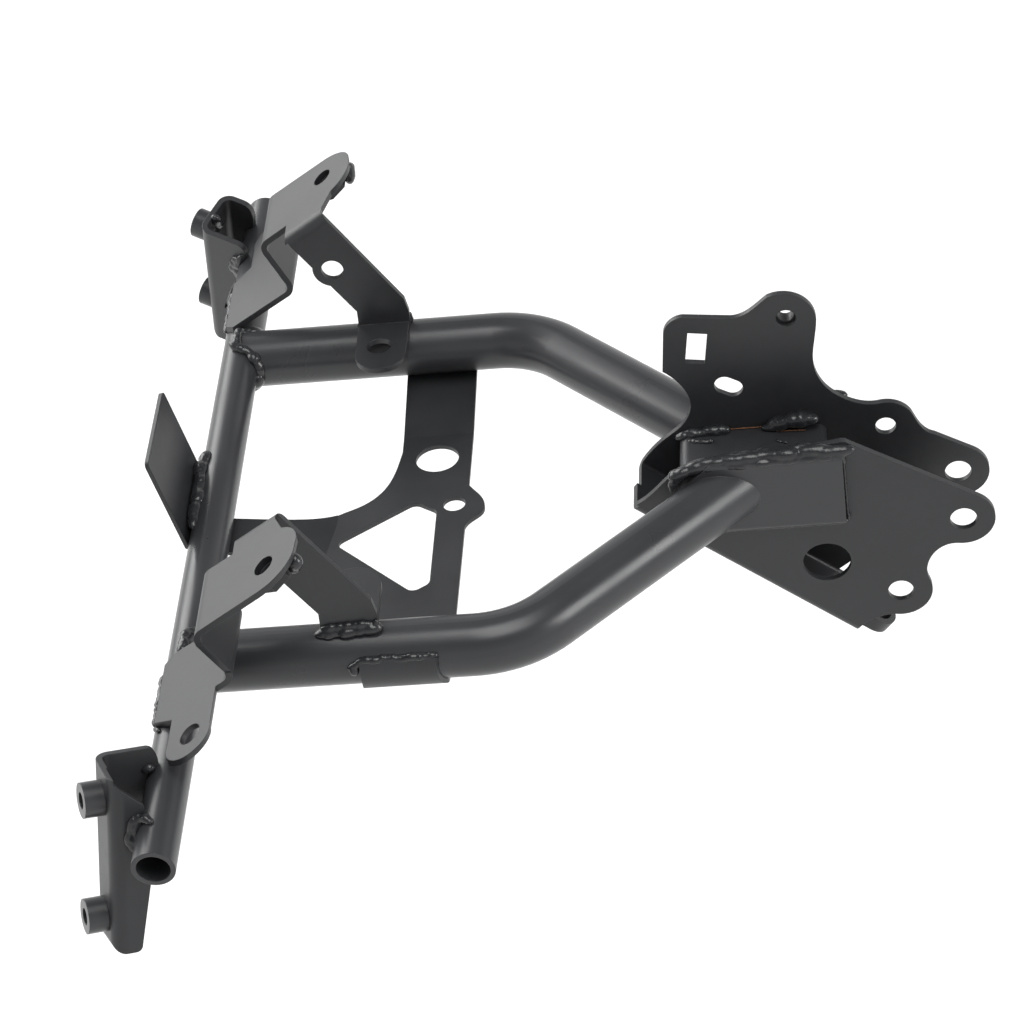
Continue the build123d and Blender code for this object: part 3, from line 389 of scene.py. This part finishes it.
endRuns = wallPatch(outerSeam, boxAcross) + [
    {"path": [(200.9, -326.6, 33.2), (201.6, -326.2, 31.0)], "radius": 2.5},
    {"path": [(202.0, -323.2, 33.9), (204.4, -320.6, 34.1)], "radius": 2.2},
]
innerRuns = wallPatch(innerSeam, -boxAcross) + [
    {"path": [(174.4, -324.5, 34.0), (174.6, -327.0, 33.4)], "radius": 2.2},
]
weldBead("leftEndBead", endRuns, 51)
weldBead("rightEndBead", mirrored(wallPatch(outerSeam, boxAcross)), 52)
weldBead("leftInnerEndBead", innerRuns, 53)
weldBead("rightInnerEndBead", mirrored(innerRuns), 54)

# behind the upper bosses, inside the channel

leftBossRuns = [
    {"path": [(194.2, -336.2, 37.8), (195.6, -335.6, 36.2)], "radius": 1.9, "gap": 0.9},
]
rightBossRuns = [
    {"path": [(-187.6, -337.0, 45.6), (-190.0, -336.8, 42.2), (-193.0, -336.6, 38.6)], "radius": 2.6,
     "gap": 0.8},
]
weldBead("leftBossBead", leftBossRuns, 61)
weldBead("rightBossBead", rightBossRuns, 62)

# at the struts' feet, on the arms

strutRuns = [
    {"path": [(105.4, -260.5, 36.4), (105.6, -256.0, 37.0), (105.8, -248.0, 37.4), (105.6, -241.0, 37.6)],
     "radius": 2.9, "gap": 0.6, "wander": 0.6},
    {"path": [(104.8, -259.0, 39.2), (105.0, -250.0, 39.8), (104.9, -242.0, 40.0)], "radius": 1.9, "gap": 0.6,
     "wander": 0.5},
    {"path": [(105.2, -239.4, 37.6), (105.0, -239.2, 40.0)], "radius": 1.4},
]
weldBead("leftStrutBead", strutRuns, 71)
weldBead("rightStrutBead", mirrored(strutRuns), 72)

# along the lower plate's wrap on the left arm, and below the right arm

wrapRuns = [
    {"path": [(115.8, -249.6, 27.4), (115.3, -246, 28.9), (115.1, -238, 29.6), (115.0, -228, 29.2),
              (115.0, -217, 29.8)], "radius": 1.9, "gap": 0.8},
    {"path": [(116.0, -249.8, 27.0), (116.8, -249.4, 24.8)], "radius": 2.0},
]
underRuns = [
    {"path": [(-112.4, -242, 13.0), (-112.4, -214, 13.0)], "radius": 1.5, "gap": 0.7},
]
weldBead("plateWrapBead", wrapRuns, 81)
weldBead("plateUnderBead", underRuns, 82)

# under the feet on the cross tube, and beside the nuts under the shelves

footRuns = [
    {"path": [(118.5, -326.6, 30.0), (146.5, -326.6, 30.0)], "radius": 1.5, "gap": 0.7},
    {"path": [(150.6, -325.0, 31.6), (152.4, -323.8, 32.4)], "radius": 1.5},
]
shelfRuns = [
    {"path": [(136.0, -259.6, 100.8), (136.2, -259.9, 96.6)], "radius": 3.2, "gap": 0.8},
]
weldBead("leftFootBead", footRuns, 91)
weldBead("rightFootBead", mirrored(footRuns), 92)
weldBead("leftShelfBead", shelfRuns, 93)
weldBead("rightShelfBead", mirrored(shelfRuns), 94)
print("weld beads laid")

# floor and light

studio = {
    "floorDepth": -0.32,
    "floorSize": 30,
    "floorWhite": "#b8b8b8",
    "floorGlow": 0.6,
    "horizon": 0.95,
    "zenith": 0.2,
}


def makeStudio():
    bpy.ops.object.select_all(action="DESELECT")
    bpy.ops.mesh.primitive_plane_add(size=studio["floorSize"], location=(0, -0.17, studio["floorDepth"]))
    floor = bpy.context.object
    floor.name = "paleFloor"
    material = bpy.data.materials.new("whitePaperFloor")
    material.use_nodes = True
    tree = material.node_tree
    tree.nodes.clear()
    seen = addNode(tree, "ShaderNodeLightPath")
    mirror = addNode(tree, "ShaderNodeMath", {"operation": "MAXIMUM"})
    tree.links.new(seen.outputs["Is Camera Ray"], mirror.inputs[0])
    tree.links.new(seen.outputs["Is Glossy Ray"], mirror.inputs[1])
    direct = addNode(tree, "ShaderNodeMath", {"operation": "MAXIMUM"})
    tree.links.new(mirror.outputs["Value"], direct.inputs[0])
    tree.links.new(seen.outputs["Is Transmission Ray"], direct.inputs[1])
    paper = addNode(tree, "ShaderNodeBsdfDiffuse", inputs={"Color": linear(studio["floorWhite"])})
    glow = addNode(tree, "ShaderNodeEmission", inputs={
        "Color": (1, 1, 1, 1), "Strength": studio["floorGlow"]})
    both = addNode(tree, "ShaderNodeAddShader")
    tree.links.new(paper.outputs["BSDF"], both.inputs[0])
    tree.links.new(glow.outputs["Emission"], both.inputs[1])
    pick = addNode(tree, "ShaderNodeMixShader", links={"Fac": direct.outputs["Value"]})
    tree.links.new(paper.outputs["BSDF"], pick.inputs[1])
    tree.links.new(both.outputs["Shader"], pick.inputs[2])
    addNode(tree, "ShaderNodeOutputMaterial", links={"Surface": pick.outputs["Shader"]})
    floor.data.materials.append(material)

    # white round the horizon, dimmer overhead, as in a room with white walls
    world = bpy.data.worlds.new("studioAir")
    bpy.context.scene.world = world
    world.use_nodes = True
    tree = world.node_tree
    tree.nodes.clear()
    direction = addNode(tree, "ShaderNodeTexCoord")
    height = addNode(tree, "ShaderNodeSeparateXYZ", links={"Vector": direction.outputs["Generated"]})
    level = addNode(tree, "ShaderNodeMapRange", inputs={
        "From Min": 0.1, "From Max": 0.7, "To Min": studio["horizon"], "To Max": studio["zenith"]},
        links={"Value": height.outputs["Z"]})
    air = addNode(tree, "ShaderNodeBackground", inputs={"Color": (1, 1, 1, 1)},
                  links={"Strength": level.outputs["Result"]})
    addNode(tree, "ShaderNodeOutputWorld", links={"Surface": air.outputs["Background"]})


def softBox(name, place, target, size, power):
    data = bpy.data.lights.new(name, "AREA")
    data.shape = "RECTANGLE"
    data.size = size[0]
    data.size_y = size[1]
    data.energy = power
    lamp = bpy.data.objects.new(name, data)
    bpy.context.scene.collection.objects.link(lamp)
    lamp.location = place
    lamp.rotation_euler = (Vector(target) - Vector(place)).to_track_quat("-Z", "Y").to_euler()


makeStudio()
softBox("frontBox", (-1.1, -1.95, 1.2), (0, -0.17, 0), (2.4, 1.6), 58)
softBox("topBox", (0.35, 0.0, 1.9), (0, -0.17, 0), (0.9, 1.4), 20)
softBox("rearBox", (0.55, 1.95, 1.0), (0, -0.17, 0), (0.8, 1.0), 22)
print("studio lit")
